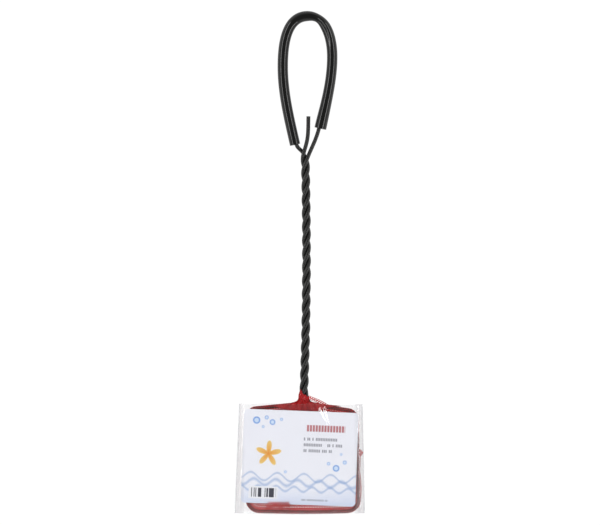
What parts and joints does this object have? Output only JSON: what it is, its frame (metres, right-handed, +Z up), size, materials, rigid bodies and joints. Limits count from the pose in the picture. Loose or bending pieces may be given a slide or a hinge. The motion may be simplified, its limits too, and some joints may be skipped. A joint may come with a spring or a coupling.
{
  "type": "aquarium fish net",
  "caption": "Small aquarium net: twisted coated-wire handle with a sleeved finger loop, rectangular wire hoop and soft mesh pocket, its head in a clear packet with a card.",
  "frame": {"origin": "on the table under the middle of the hoop", "axes": "+Y up the handle from the hoop to the finger loop, +Z up from the table, +X to the right"},
  "size_m": [0.0857, 0.3298, 0.0082],
  "materials": {
    "steel_core": "bare drawn wire",
    "black_coating": "satin black plastic coat",
    "black_vinyl": "glossy soft vinyl tube",
    "red_netting": "fine knitted nylon netting",
    "red_thread": "sewing thread",
    "clear_film": "clear glossy film",
    "printed_card": "coated printed card"
  },
  "bodies": {
    "net": {"wire_core": "steel_core", "wire_coating": "black_coating", "grip_sleeve": "black_vinyl", "rim_casing": "red_netting", "hem_band": "red_netting", "hem_stitches": "red_thread", "net_pocket": "red_netting", "neck_gather": "red_netting"},
    "packet": {"packet_film": "clear_film"},
    "card": {"insert_card": "printed_card"}
  },
  "joints": [
    {"name": "packet_slide", "type": "slide", "parent": "net", "child": "packet", "axis": [0, -1, 0], "range_m": [0, 0.09]},
    {"name": "card_slide", "type": "slide", "parent": "packet", "child": "card", "axis": [0.0384, 0.9993, 0], "range_m": [0, 0.07]}
  ]
}
